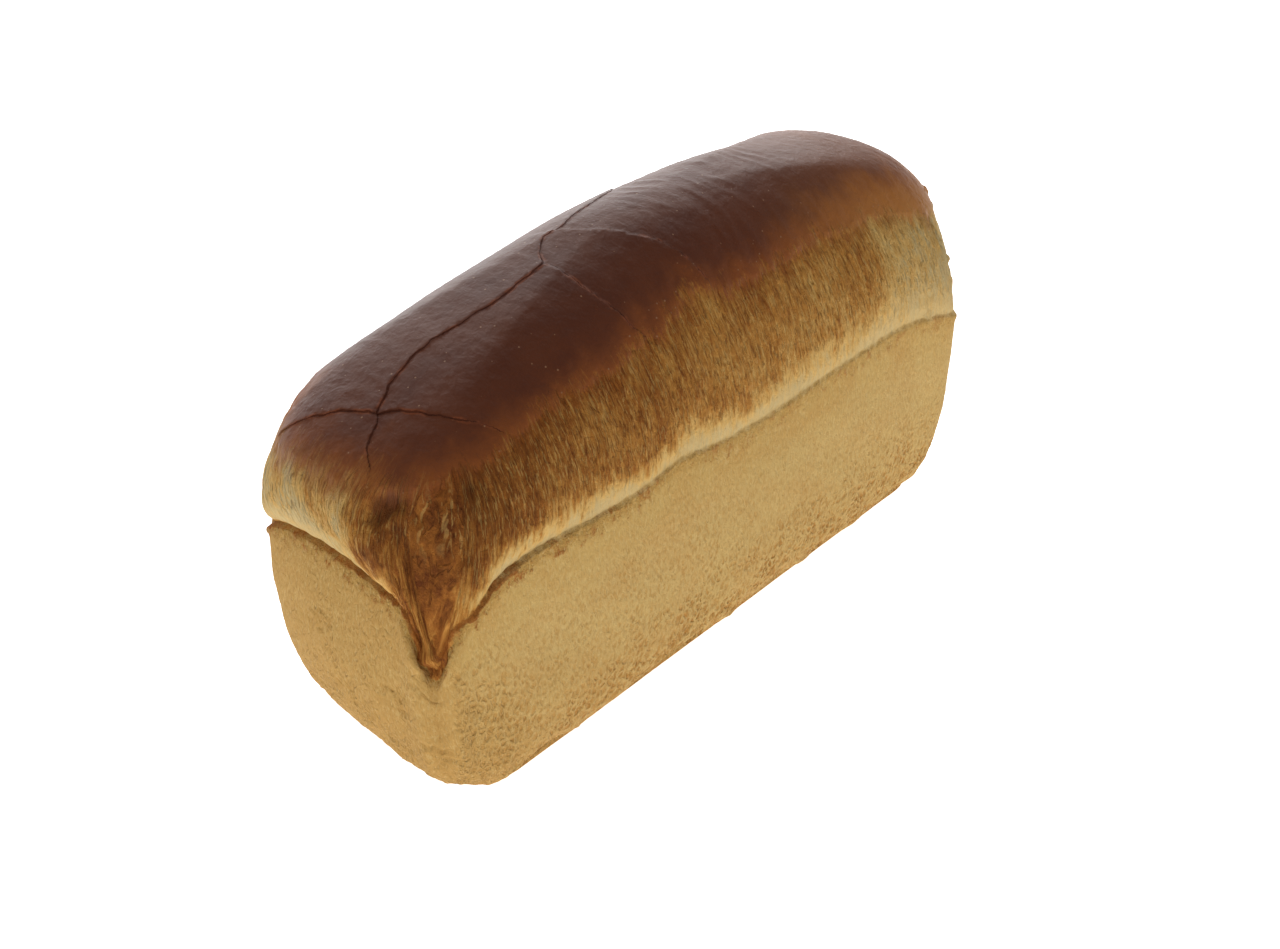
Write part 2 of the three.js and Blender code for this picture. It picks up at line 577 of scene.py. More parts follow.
@dataclass(frozen=True)
class TornBand:
    """Relief of the torn band: fibres up the slope, soft lobes, hollows and curls."""

    lobe: float = 0.9
    lobe_size: float = 17.0
    rope: float = 0.5
    rope_size: Triple = (5.5, 5.5, 38.0)
    fibre: float = 0.38
    fibre_size: Triple = (2.0, 2.0, 12.0)
    crumb: float = 0.3
    crumb_size: float = 3.2
    ragged_lip: float = 0.9
    tissue: float = 2.0
    tissue_size: Triple = (3.2, 3.2, 12.0)
    tissue_reach: float = 13.0
    shred: float = 1.1
    wander: float = 1.6
    seed: int = 23
    full_shade: float = 1.8
    hollows: tuple[Hollow, ...] = (
        Hollow((-143.5, -26.8, 121.5), 2.2, 1.2),
        Hollow((-140.5, -27.6, 124.6), 2.8, 2.0),
        Hollow((-137.5, -29.2, 126.4), 2.4, 1.8),
        Hollow((-134.6, -32.5, 125.7), 2.4, 1.2),
        Hollow((-132.4, -37.0, 122.2), 2.2, 0.9),
        Hollow((-116.6, -42.5, 126.7), 2.6, 1.1),
        Hollow((-142.3, -43.0, 74.5), 2.4, -2.2, False),
        Hollow((-141.0, -45.0, 76.5), 1.6, -1.2, False),
        Hollow((-141.8, -44.0, 69.0), 1.8, 1.2),
        Hollow((108.5, -54.0, 93.0), 2.6, -1.6, False),
    )

    def relief(self, skin: Skin, form: LoafForm) -> Array:
        """Height of the torn band's relief; the tissue, and the painted shade of the hollows, go on
        the skin.

        Args:
            skin: The loaf's skin.
            form: The form it lies on.

        Returns:
            The height at each point.
        """
        grain = Grain(self.seed)
        total = np.zeros(len(skin.climb))
        torn = (skin.climb > -3.0) & (skin.crust < 6.0)
        flat, strand, climb = skin.flat[torn], skin.strand[torn], skin.climb[torn]
        strand = strand + grain.warp(flat, 13.0, 14.0) * [self.wander, self.wander, 0.0]
        rise = ease(climb, 0.5, 9.0) * ease(skin.crust[torn], 4.0, -4.0)
        lobes = self.lobe * grain.rough(strand * [1.0, 1.0, 0.4], self.lobe_size)
        ropes = self.rope * (0.4 - np.abs(grain.rough(strand, self.rope_size)) * 1.6)
        fibres = self.fibre * grain.layered(strand, self.fibre_size, 2)
        crumbs = self.crumb * grain.rough(flat, self.crumb_size)
        lip = self.ragged_lip * grain.layered(flat, 5.0, 3) * hump(climb, 3.0)
        lip *= 0.4 + 0.6 * ease(flat[:, 0], -40.0, -110.0)
        at_neck = hump(form.from_corner(flat, Corner.NEAR_FRONT.value), self.tissue_reach)
        at_neck *= ease(climb, 34.0, 14.0)
        tissue = self.tissue * (0.5 - np.abs(grain.layered(strand + 60.0, self.tissue_size, 3)) * 2)
        shreds = self.shred * ease(grain.rough(strand + 90.0, (1.6, 1.6, 5.0)), 0.45, 0.7)
        shreds *= ease(flat[:, 0], 110.0, 135.0) * ease(climb, 8.0, 20.0)
        total[torn] = (lobes + ropes + fibres + crumbs) * rise + lip + tissue * at_neck + shreds
        skin.tissue = np.zeros(len(skin.climb))
        skin.tissue[torn] = at_neck
        skin.hollow = np.zeros(len(skin.climb))
        for hollow in self.hollows:
            share = hollow.share(skin.placed)
            total -= hollow.depth * share
            # Hollows marked so are darkened with painted shade, the more the deeper they are.
            if hollow.painted_shade:
                skin.hollow = np.maximum(skin.hollow, share * hollow.depth / self.full_shade)
        return total


@dataclass(frozen=True)
class Crack:
    """A crack across the crown, as waypoints in plan, with one edge lifted."""

    path: tuple[tuple[float, float], ...]
    width: float
    depth: float
    lift: float


class CrackLine(Enum):
    """The cracks of the crown, each with its own channel of distances."""

    RIDGE = Crack(
        ((-134, -17), (-128, -11), (-121, -6), (-112, -1), (-100, 1.5), (-90, 0), (-80, -2.5),
         (-66, -4.5), (-55, -4), (-47, -3.5), (-44, 3), (-37, 8), (-28, 8), (-14, 12), (0, 15),
         (10, 22), (16, 32)),
        width=0.45, depth=0.10, lift=0.45,
    )
    NEAR_CAP = Crack(
        ((-136, 27), (-132, 18), (-129, 12), (-125, 3), (-121, -6), (-116, -12.5), (-113, -19),
         (-109, -26.5), (-104, -31.5), (-99, -37)),
        width=0.45, depth=0.10, lift=0.45,
    )
    MIDDLE = Crack(
        ((-47, -3.5), (-46.5, -12), (-45.5, -19), (-43, -25), (-40, -31.5), (-38, -35.5),
         (-35, -40)),
        width=0.4, depth=0.2, lift=-0.6,
    )
    ARC = Crack(
        ((-30, 5), (-25, -2), (-18.5, -10), (-10.5, -19), (-6.5, -26), (-3, -34)),
        width=0.4, depth=0.15, lift=-0.7,
    )


@dataclass(frozen=True)
class CrownCrust:
    """Relief of the dark crown: its ragged edge, cracks, lifted plates and ripples."""

    edge_share: float = 0.69
    edge_step: float = 0.5
    ragged: tuple[float, float] = (5.0, 2.2)
    ragged_size: tuple[float, float] = (34.0, 7.0)
    far_drop: float = 8.0
    back_drop: float = 5.0
    wave: float = 0.7
    wave_size: float = 38.0
    ripple: float = 0.34
    ripple_size: Triple = (7.0, 26.0, 40.0)
    ripple_from: float = -25.0
    ripple_to: float = 85.0
    ripple_fade: float = 40.0
    ripple_wander: float = 6.0
    blister: float = 0.12
    lift_reach: float = 8.0
    wobble: float = 1.3
    no_crack: float = 20.0
    seed: int = 37

    def edge(self, skin: Skin, form: LoafForm) -> Array:
        """How far each point lies up the slope past the ragged edge of the crust."""
        grain = Grain(self.seed)
        rise = form.crown.rise
        height = (skin.share - self.edge_share) * rise
        x, y, _ = skin.flat.T
        foot = skin.strand * [1.0, 1.0, 0.0]
        ragged = self.ragged[0] * grain.rough(foot, self.ragged_size[0])
        ragged += self.ragged[1] * grain.layered(foot + 5.0, self.ragged_size[1], 2)
        lowered = self.far_drop * ease(x, 88.0, 128.0) + self.back_drop * ease(y, 5.0, 35.0)
        return height + ragged + lowered

    def relief(self, skin: Skin, form: LoafForm) -> Array:
        """Height of the crown's relief, and the distances to its cracks.

        Args:
            skin: The loaf's skin; its crack channels are filled in here.
            form: The form it lies on.

        Returns:
            The height at each point.
        """
        grain = Grain(self.seed + 1)
        count = len(skin.climb)
        total = np.zeros(count)
        skin.cracks = np.full((count, len(CrackLine)), self.no_crack)
        skin.close = np.zeros(count)
        crown = skin.crust > -14.0
        points = skin.flat[crown]
        hard = ease(skin.crust[crown], -1.5, 1.5)
        across = points + self.ripple_wander * grain.warp(points, 9.0, 20.0)
        folded = 1.0 - 2.0 * np.abs(grain.rough(across, self.ripple_size))
        rippled = ease(points[:, 0], self.ripple_from, self.ripple_from + self.ripple_fade)
        rippled *= ease(points[:, 0], self.ripple_to, self.ripple_to - self.ripple_fade)
        height = self.wave * grain.rough(points, self.wave_size) * ease(skin.crust[crown], 0, 12)
        height += self.ripple * folded * (0.35 + 0.65 * rippled) * hard
        height += self.blister * grain.rough(points, 1.8) * hard
        height += self.edge_step * hard
        wobbly = points + self.wobble * np.column_stack(
            [grain.layered(points + 21.0 * n, 8.0, 2) for n in range(3)]
        )
        near = np.zeros(len(points))
        fade = ease(skin.crust[crown], -12.0, -2.0)
        for channel, line in enumerate(CrackLine):
            crack = line.value
            signed, plain = self.distances(wobbly, crack, form)
            height -= crack.depth * hump(plain, crack.width) * fade
            side = np.sign(crack.lift) * signed > 0.0
            height += np.where(side, abs(crack.lift) * np.exp(-plain / self.lift_reach), 0) * fade
            near = np.maximum(near, ease(plain, 4.0, 0.5) * fade)
            skin.cracks[crown, channel] = signed
        skin.close[crown] = near
        total[crown] = height
        return total

    @staticmethod
    def distances(points: Array, crack: Crack, form: LoafForm) -> tuple[Array, Array]:
        """Distance from each point to a crack that lies on the form.

        Args:
            points: Positions on the unbent form.
            crack: The crack.
            form: The form that gives the height of its waypoints.

        Returns:
            The distance with a sign for the side, and without one.
        """
        path = on_crown(np.array(crack.path, dtype=float), form)
        best = np.full(len(points), 1e9)
        sign = np.ones(len(points))
        for start, stop in zip(path[:-1], path[1:]):
            run = stop - start
            share = clamp01((points - start) @ run / (run @ run))
            gap = points - (start + share[:, None] * run)
            distance = np.linalg.norm(gap, axis=1)
            turn = run[0] * gap[:, 1] - run[1] * gap[:, 0]
            closer = distance < best
            best = np.where(closer, distance, best)
            sign = np.where(closer, np.where(turn >= 0.0, 1.0, -1.0), sign)
        return best * sign, best


def on_crown(plan: Array, form: LoafForm) -> Array:
    """Lifts places in plan onto the crown.

    Args:
        plan: Positions along and across the loaf.
        form: The form to lift them onto.

    Returns:
        The same places with their heights.
    """
    low = np.full(len(plan), form.block.rim)
    high = np.full(len(plan), form.block.rim + form.crown.rise + 1.0)
    low = last_inside(
        low, high, form.halvings, lambda height: form.outside(np.column_stack([plan, height]))
    )
    return np.column_stack([plan, low])


# ---- Mesh ------------------------------------------------------------------------------------


class BoxFace(Enum):
    """The six faces of a box: where each lies, how it is turned and which way it is cut."""

    TOP = ((0.0, 0.0, 1.0), (0.0, 0.0, 0.0), (0, 1))
    BASE = ((0.0, 0.0, -1.0), (180.0, 0.0, 0.0), (0, 1))
    FRONT = ((0.0, -1.0, 0.0), (90.0, 0.0, 0.0), (0, 2))
    BACK = ((0.0, 1.0, 0.0), (90.0, 0.0, 180.0), (0, 2))
    FAR_END = ((1.0, 0.0, 0.0), (90.0, 0.0, 90.0), (1, 2))
    NEAR_END = ((-1.0, 0.0, 0.0), (90.0, 0.0, -90.0), (1, 2))


def deselect() -> None:
    """Leaves edit mode and clears the selection, so that an operator acts on one piece."""
    if bpy.context.object and bpy.context.object.mode != "OBJECT":
        bpy.ops.object.mode_set(mode="OBJECT")
    bpy.ops.object.select_all(action="DESELECT")


def cut_box(cuts: tuple[int, int, int]) -> bpy.types.Object:
    """Makes a box from -1 to 1, each face cut into a fine grid.

    Args:
        cuts: The number of cells along X, Y and Z.

    Returns:
        The closed box.
    """
    deselect()
    parts = []
    for face in BoxFace:
        place, turn, (first, second) = face.value
        bpy.ops.mesh.primitive_grid_add(
            x_subdivisions=cuts[first],
            y_subdivisions=cuts[second],
            size=2.0,
            calc_uvs=False,
            location=place,
            rotation=tuple(math.radians(angle) for angle in turn),
        )
        parts.append(bpy.context.object)
    for part in parts:
        part.select_set(True)
    bpy.context.view_layer.objects.active = parts[0]
    bpy.ops.object.join()
    box = bpy.context.object
    bpy.ops.object.transform_apply(location=True, rotation=True, scale=True)
    bpy.ops.object.mode_set(mode="EDIT")
    bpy.ops.mesh.select_all(action="SELECT")
    bpy.ops.mesh.remove_doubles(threshold=1.0 / max(cuts) / 10.0)
    bpy.ops.object.mode_set(mode="OBJECT")
    return box


def select_only(piece: bpy.types.Object) -> None:
    """Makes one piece the only one that operators act on."""
    deselect()
    piece.select_set(True)
    bpy.context.view_layer.objects.active = piece


def read_rows(items: bpy.types.bpy_prop_collection, name: str) -> Array:
    """Three numbers of each item, such as each vertex's position, one row each."""
    flat = np.empty(len(items) * 3, dtype=np.float32)
    items.foreach_get(name, flat)
    return flat.reshape(-1, 3).astype(float)


def write_points(mesh: bpy.types.Mesh, points: Array) -> None:
    """Moves every vertex of a mesh to the given positions."""
    mesh.vertices.foreach_set("co", points.astype(np.float32).ravel())
    mesh.update()


def write_attribute(mesh: bpy.types.Mesh, name: str, rows: Array) -> None:
    """Stores three numbers on each vertex, for the finish to read.

    Args:
        mesh: The mesh.
        name: The attribute's name.
        rows: Three numbers for each vertex.
    """
    layer = mesh.attributes.new(name, "FLOAT_VECTOR", "POINT")
    layer.data.foreach_set("vector", rows.astype(np.float32).ravel())


# ---- Shader sums -----------------------------------------------------------------------------


class Value:
    """A number socket that takes part in Python sums."""

    def __init__(self, graph: "FinishGraph", socket: bpy.types.NodeSocket) -> None:
        """Wraps a socket of the graph's node tree."""
        self.graph = graph
        self.socket = socket

    def _math(self, operation: str, *inputs: Any) -> "Value":
        """Adds one Math node."""
        settings = {"operation": operation}
        return self.graph.node("ShaderNodeMath", settings, dict(enumerate(inputs))).value()

    def __add__(self, other: Any) -> "Value":
        """self + other."""
        return self._math("ADD", self, other)

    def __radd__(self, other: Any) -> "Value":
        """other + self."""
        return self._math("ADD", other, self)

    def __sub__(self, other: Any) -> "Value":
        """self - other."""
        return self._math("SUBTRACT", self, other)

    def __rsub__(self, other: Any) -> "Value":
        """other - self."""
        return self._math("SUBTRACT", other, self)

    def __mul__(self, other: Any) -> "Value":
        """self * other."""
        return self._math("MULTIPLY", self, other)

    def __rmul__(self, other: Any) -> "Value":
        """other * self."""
        return self._math("MULTIPLY", other, self)

    def __truediv__(self, other: Any) -> "Value":
        """self / other."""
        return self._math("DIVIDE", self, other)

    def __pow__(self, other: Any) -> "Value":
        """self ** other."""
        return self._math("POWER", self, other)

    def __abs__(self) -> "Value":
        """abs(self)."""
        return self._math("ABSOLUTE", self)

    def least(self, other: Any) -> "Value":
        """The smaller of the two."""
        return self._math("MINIMUM", self, other)

    def most(self, other: Any) -> "Value":
        """The larger of the two."""
        return self._math("MAXIMUM", self, other)

    def ease(self, start: Any, stop: Any) -> "Value":
        """Rises smoothly from 0 at start to 1 at stop; stop may be the smaller."""
        settings = {"interpolation_type": "SMOOTHSTEP"}
        inputs = {"Value": self, "From Min": start, "From Max": stop}
        return self.graph.node("ShaderNodeMapRange", settings, inputs).value()


class NodeHandle:
    """A node that has just been added, from which sockets are taken."""

    def __init__(self, graph: "FinishGraph", node: bpy.types.Node) -> None:
        """Wraps a node of the graph's tree."""
        self.graph = graph
        self.node = node

    def value(self, name: Union[int, str] = 0) -> Value:
        """One output as a number that takes part in sums."""
        return Value(self.graph, self.node.outputs[name])

    def link(self, name: Union[int, str] = 0) -> bpy.types.NodeSocket:
        """One output as a plain socket, for a colour or a vector."""
        return self.node.outputs[name]


class FinishGraph:
    """The nodes of a material or of the world."""

    def __init__(self, owner: Union[bpy.types.Material, bpy.types.World]) -> None:
        """Starts with no nodes.

        Args:
            owner: The material or world that the nodes belong to.
        """
        owner.use_nodes = True
        self.owner = owner
        self.tree = owner.node_tree
        self.tree.nodes.clear()

    def node(
        self, kind: str, settings: dict[str, Any] | None = None, inputs: dict[Any, Any] | None = None
    ) -> NodeHandle:
        """Adds a node.

        Args:
            kind: The node's type.
            settings: Its properties, set first. A list under "stops" fills a colour ramp.
            inputs: Numbers, colours or links for its inputs, by name or index.

        Returns:
            A handle on the node.
        """
        node = self.tree.nodes.new(kind)
        for key, setting in (settings or {}).items():
            if key == "stops":
                self._fill_ramp(node, setting)
            else:
                setattr(node, key, setting)
        for key, given in (inputs or {}).items():
            self._feed(node.inputs[key], given)
        return NodeHandle(self, node)

    def _feed(self, socket: bpy.types.NodeSocket, given: Any) -> None:
        """Links a socket, or sets its own value."""
        if isinstance(given, Value):
            given = given.socket
        if isinstance(given, NodeHandle):
            given = given.link()
        if isinstance(given, bpy.types.NodeSocket):
            self.tree.links.new(given, socket)
        elif socket.type == "RGBA":
            socket.default_value = (*given, 1.0)
        else:
            socket.default_value = given

    @staticmethod
    def _fill_ramp(node: bpy.types.Node, stops: Sequence[tuple[float, Colour]]) -> None:
        """Gives a ramp its stops."""
        ramp = node.color_ramp
        while len(ramp.elements) < len(stops):
            ramp.elements.new(1.0)
        for element, (place, colour) in zip(ramp.elements, stops):
            element.position = place
            element.color = (*colour, 1.0)

    def surface(self, inputs: dict[str, Any]) -> None:
        """Ends the material with a Principled shader that has the given inputs."""
        shader = self.node("ShaderNodeBsdfPrincipled", inputs=inputs)
        self.node("ShaderNodeOutputMaterial", inputs={"Surface": shader})

    def attribute(self, name: str) -> tuple[bpy.types.NodeSocket, Value, Value, Value]:
        """A stored attribute as a vector and as three numbers."""
        vector = self.node("ShaderNodeAttribute", {"attribute_name": name}).link("Vector")
        parts = self.node("ShaderNodeSeparateXYZ", inputs={0: vector})
        return vector, parts.value(0), parts.value(1), parts.value(2)

    def vector(self, operation: str, first: Any, second: Any) -> bpy.types.NodeSocket:
        """Two vectors joined by one Vector Math node."""
        inputs = {0: first, 1: second}
        return self.node("ShaderNodeVectorMath", {"operation": operation}, inputs).link()

    def stretched(self, vector: Any, sizes: Sizes) -> bpy.types.NodeSocket:
        """A vector divided by a size, or by one along each axis, in metres."""
        each = (sizes,) * 3 if isinstance(sizes, float) else sizes
        return self.vector("MULTIPLY", vector, tuple(1.0 / size for size in each))

    def noise(self, vector: Any, sizes: Sizes, detail: float = 2.0,
              roughness: float = 0.5, distortion: float = 0.0) -> NodeHandle:
        """A noise of the given grain sizes.

        Args:
            vector: Where to read it.
            sizes: The grain's size, one number or one for each axis, in metres.
            detail: How many finer layers it has.
            roughness: How strong they are.
            distortion: How far it is twisted.

        Returns:
            A handle on the noise.
        """
        inputs = {
            "Vector": self.stretched(vector, sizes),
            "Scale": 1.0,
            "Detail": detail,
            "Roughness": roughness,
            "Distortion": distortion,
        }
        return self.node("ShaderNodeTexNoise", inputs=inputs)

    def grain(self, vector: Any, sizes: Sizes, *fineness: float) -> Value:
        """Noise as a number, about 0 to 1; the fineness is as for noise."""
        return self.noise(vector, sizes, *fineness).value("Fac")

    def stray(self, vector: Any, sizes: Sizes, reach: float, *fineness: float) -> Value:
        """Noise about 0, with the reach as its whole width."""
        return (self.grain(vector, sizes, *fineness) - 0.5) * reach

    def cells(self, vector: Any, sizes: Sizes, feature: str = "F1") -> NodeHandle:
        """Scattered cells of the given sizes."""
        inputs = {"Vector": self.stretched(vector, sizes), "Scale": 1.0}
        return self.node("ShaderNodeTexVoronoi", {"feature": feature}, inputs)

    def tinted(self, colour: Any, *tints: tuple[Any, Any]) -> Any:
        """A colour with others laid over it, in order.

        Args:
            colour: The colour to start from.
            tints: Each colour to lay over it, with its share from 0 to 1.

        Returns:
            The mixed colour.
        """
        settings = {"data_type": "RGBA", "clamp_factor": True}
        for tint, share in tints:
            inputs = {0: share, 6: colour, 7: tint}
            colour = self.node("ShaderNodeMix", settings, inputs).link(2)
        return colour

    def ramp(self, share: Value, *stops: tuple[float, Colour]) -> Any:
        """A colour that follows a number through the given stops."""
        return self.node("ShaderNodeValToRGB", {"stops": stops}, {0: share}).link("Color")


# ---- Finish --------------------------------------------------------------------------------------


@dataclass(frozen=True)
class CrustReads:
    """What the finish reads at each point, with lengths in metres.

    Attributes:
        place: Position on the loaf.
        along: Position along the loaf.
        height: Height over the table.
        corner: Distance in plan to the near corner.
        strand: Position along and across the fibres.
        climb: Height over the rim.
        crust: Distance up the slope past the crown's edge.
        hollow: How much painted shade a hollow lays on it.
        pits: How deep in a pit it is.
        cracks: Distance to each crack, signed.
        close: How close the nearest crack is, fading out past its ends.
        tissue: Where the near corner's torn tissue is.
    """

    place: Any
    along: Value
    height: Value
    corner: Value
    strand: Any
    climb: Value
    crust: Value
    hollow: Value
    pits: Value
    cracks: tuple[Value, ...]
    close: Value
    tissue: Value

    @classmethod
    def take(cls, g: FinishGraph, corner_at: tuple[float, float]) -> "CrustReads":
        """Reads the position and the stored attributes.

        Args:
            g: The graph.
            corner_at: Where the near corner stands, in plan.

        Returns:
            All that the finish reads.
        """
        place = g.node("ShaderNodeTexCoord").link("Object")
        parts = g.node("ShaderNodeSeparateXYZ", inputs={0: place})
        strand, _, _, climb = g.attribute("strand")
        _, crust, hollow, pits = g.attribute("zones")
        _, *cracks = g.attribute("cracks")
        _, last_crack, close, tissue = g.attribute("marks")
        gap_x, gap_y = parts.value(0) - corner_at[0], parts.value(1) - corner_at[1]
        corner = (gap_x * gap_x + gap_y * gap_y) ** 0.5
        return cls(
            place, parts.value(0), parts.value(2), corner, strand, climb, crust, hollow, pits,
            (*cracks, last_crack), close, tissue,
        )


@dataclass(frozen=True)
class BakedFinish:
    """Colour, gloss and fine relief of the whole crust; sizes are in metres."""

    name: str = "baked_crust"
    near_corner: tuple[float, float] = (-0.142, -0.054)
    wall_light: Colour = (0.68, 0.49, 0.205)
    wall_pale: Colour = (0.575, 0.375, 0.125)
    wall_gold: Colour = (0.53, 0.305, 0.090)
    wall_brown: Colour = (0.42, 0.19, 0.036)
    pit_orange: Colour = (0.44, 0.175, 0.026)
    lip_gold: Colour = (0.46, 0.265, 0.070)
    cream: Colour = (0.62, 0.465, 0.22)
    torn_pale: Colour = (0.76, 0.47, 0.15)
    torn_gold: Colour = (0.57, 0.257, 0.054)
    torn_brown: Colour = (0.35, 0.122, 0.022)
    torn_dark: Colour = (0.145, 0.040, 0.009)
    # painted shade of the furrow's crease, over the brown of its baked edge
    browned_crevice_shade: Colour = (0.29, 0.092, 0.015)
    edge_orange: Colour = (0.27, 0.072, 0.010)
    crown_brown: Colour = (0.108, 0.0250, 0.0060)
    crown_dark: Colour = (0.084, 0.0180, 0.0048)
    far_brown: Colour = (0.22, 0.073, 0.023)
    far_gold: Colour = (0.42, 0.165, 0.032)
    speck: Colour = (0.36, 0.19, 0.10)
    # painted shade inside the cracks
    gap: Colour = (0.055, 0.012, 0.005)
    raw_edge: Colour = (0.24, 0.06, 0.018)
    roughness: float = 0.86
    crown_smoother: float = 0.26
    specular: float = 0.10
    gloss: float = 0.50
    gloss_roughness: float = 0.46
    gloss_ior: float = 1.33
    wall_blotch: Triple = (0.026, 0.026, 0.02)
    comb_cell: Triple = (0.0025, 0.0025, 0.0040)
    slit_cell: Triple = (0.0014, 0.0014, 0.0031)
    wall_fine: Triple = (0.0009, 0.0009, 0.0026)
    lip_shag: Triple = (0.0035, 0.0035, 0.005)
    band_blotch: Triple = (0.018, 0.018, 0.022)
    rope_grain: Triple = (0.0040, 0.0040, 0.014)
    fibre_grain: Triple = (0.0010, 0.0010, 0.0060)
    hair_grain: Triple = (0.0007, 0.0007, 0.0055)
    slit_grain: Triple = (0.0009, 0.0009, 0.0050)
    crumb_grain: float = 0.0019
    crown_mottle: Triple = (0.035, 0.025, 0.025)
    leather_grain: Triple = (0.0035, 0.005, 0.004)
    swell_grain: Triple = (0.010, 0.014, 0.012)
    speck_cell: float = 0.0032
    pore_cell: float = 0.0013

    def build(self) -> bpy.types.Material:
        """Makes the material."""
        g = FinishGraph(bpy.data.materials.new(self.name))
        at = CrustReads.take(g, self.near_corner)
        wall, wall_bump = self.walls(g, at)
        band, band_bump = self.band(g, at)
        crown, crown_bump, line = self.crown(g, at)
        fray = g.stray(at.strand, (0.0010, 0.0010, 0.004), 0.016, 3.0, 0.7)
        fray = fray + g.stray(at.place, 0.006, 0.012, 4.0, 0.65)
        soft = at.along.ease(-0.120, -0.140) * 0.006
        on_crown = ((at.crust + fray + soft * 0.4) / (0.0034 + soft)).ease(-1.0, 1.0)
        on_band = (at.climb + g.stray(at.place, 0.003, 0.005, 3.0)).ease(-0.001, 0.002)
        on_band = on_band.most(at.tissue.ease(0.5, 0.9) * at.climb.ease(-0.004, -0.002))
        # Painted shade in the furrow's crease, in the brown of its baked edge, on the end and near
        # the corner:
        torn_edge = g.stray(at.place, (0.004, 0.004, 0.003), 0.006, 4.0, 0.65)
        browned_crevice_shade = abs(at.climb + torn_edge).ease(0.0016, 0.0003)
        at_end = at.along.ease(-0.132, -0.139) * g.grain(at.place, 0.012, 2.0).ease(0.3, 0.6)
        browned_crevice_shade = browned_crevice_shade * at_end.most(at.corner.ease(0.042, 0.022)) * 0.85
        # Painted shade darkens the hollows, most at their middles.
        sunk = (at.hollow + g.stray(at.place, 0.003, 0.7, 3.0)).ease(0.25, 0.9)
        colour = g.tinted(
            wall,
            (band, on_band),
            (self.browned_crevice_shade, browned_crevice_shade),
            (crown, on_crown),
            (self.torn_dark, sunk * 0.75),
        )
        bump_height = wall_bump * (1.0 - on_band) + band_bump * on_band * (1.0 - on_crown)
        bump_height = bump_height + crown_bump * on_crown
        bump = g.node(
            "ShaderNodeBump",
            inputs={"Strength": 1.0, "Distance": 1.0, "Height": bump_height},
        )
        mottled = g.stray(at.place, 0.006, 0.2, 3.0)
        smoother = on_crown * self.crown_smoother
        g.surface(
            {
                "Base Color": colour,
                "Roughness": mottled + self.roughness - smoother + line * 0.1,
                "Normal": bump,
                "Specular IOR Level": self.specular,
                "Coat Weight": on_crown * (self.gloss + mottled * 0.7) * (1.0 - line * 0.9),
                "Coat Roughness": self.gloss_roughness,
                "Coat IOR": self.gloss_ior,
            }
        )
        return g.owner

    def walls(self, g: FinishGraph, at: CrustReads) -> tuple[Any, Value]:
        """Colour and fine relief of the walls.

        Args:
            g: The graph.
            at: What the finish reads.

        Returns:
            The colour and the height of the relief.
        """
        place, along, climb, corner, height = at.place, at.along, at.climb, at.corner, at.height
        lower = height.ease(0.065, 0.004)
        blotch = g.grain(place, self.wall_blotch, 4.0, 0.6)
        twist = self.twisted(g, place, 0.006, 0.0016)
        comb = g.cells(twist, self.comb_cell, "DISTANCE_TO_EDGE").value("Distance")
        tiny = g.cells(twist, self.slit_cell).value("Distance")
        patch = g.grain(place, (0.010, 0.010, 0.012), 3.0, 0.6).ease(0.36, 0.66)
        at_end = along.ease(-0.130, -0.142)
        beside = along.ease(-0.141, -0.137) * corner.ease(0.030, 0.010) * height.ease(0.08, 0.05)
        arris = corner.ease(0.016, 0.009) * along.ease(-0.138, -0.1405)
        holed = (lower * 1.1 + at_end * 0.3).least(1.0) * (0.45 + 0.55 * patch) + 0.12
        holed = (holed + beside * 0.7).least(1.0) * (1.0 - arris * 0.7)
        # Pits and slits are browner, partly their own baked colour and partly painted shade in their
        # hollows.
        cell = comb.ease(0.10, 0.34) * holed * 0.8
        below_rim = (0.0 - climb).ease(0.006, 0.030)
        often = (0.35 + 0.65 * patch) * (0.15 + 0.35 * below_rim + 0.4 * lower + at_end * 0.3)
        often = often * (1.0 - along.ease(-0.06, 0.10) * height.ease(0.03, 0.06) * 0.5)
        slit = tiny.ease(0.56, 0.26) * (often + beside * 0.4).least(1.0) * (1.0 - arris * 0.6)
        pit_tone_and_shade = cell.most(at.pits) * lower.ease(0.2, 0.8) * (0.35 + 0.4 * patch)
        warm = at_end * (0.40 + 0.7 * blotch) + lower * corner.ease(0.12, 0.02) * 0.5
        shaggy = g.grain(place, self.lip_shag, 4.0, 0.7)
        near = along.ease(0.02, -0.09)
        lip = (climb + (shaggy - 0.5) * 0.014).ease(-0.008, -0.003) * (0.60 + 0.40 * near)
        torn = g.tinted(self.lip_gold, (self.torn_brown, shaggy.ease(0.50, 0.68)))
        fine = g.grain(place, self.wall_fine, 3.0, 0.6)
        colour = g.tinted(
            self.wall_pale,
            (self.wall_gold, blotch.ease(0.35, 0.8)),
            (self.wall_light, (1.0 - cell) * (1.0 - slit) * below_rim * 0.3),
            (self.wall_light, arris * 0.2),
            # Painted shade in part: these pit and slit tints, and the one by the mesh's pit depth,
            # darken the sunk skin as well as colour it.
            (self.wall_brown, cell * 0.82),
            (self.wall_brown, slit * 0.74),
            (self.pit_orange, pit_tone_and_shade),
            (self.wall_brown, at.pits * 0.35),
            (self.wall_gold, beside * 0.5),
            (self.wall_gold, warm),
            (torn, lip * shaggy.ease(0.20, 0.45)),
            (self.wall_brown, height.ease(0.0025, 0.0) * 0.5),
            (self.wall_gold, fine.ease(0.50, 0.66) * (0.40 + at_end * 0.35)),
            (self.wall_light, fine.ease(0.48, 0.34) * 0.35),
        )
        relief = (fine - 0.5) * 0.0009 - cell * 0.0008 - slit * 0.0004
        return colour, relief + (shaggy - 0.5) * lip * 0.003

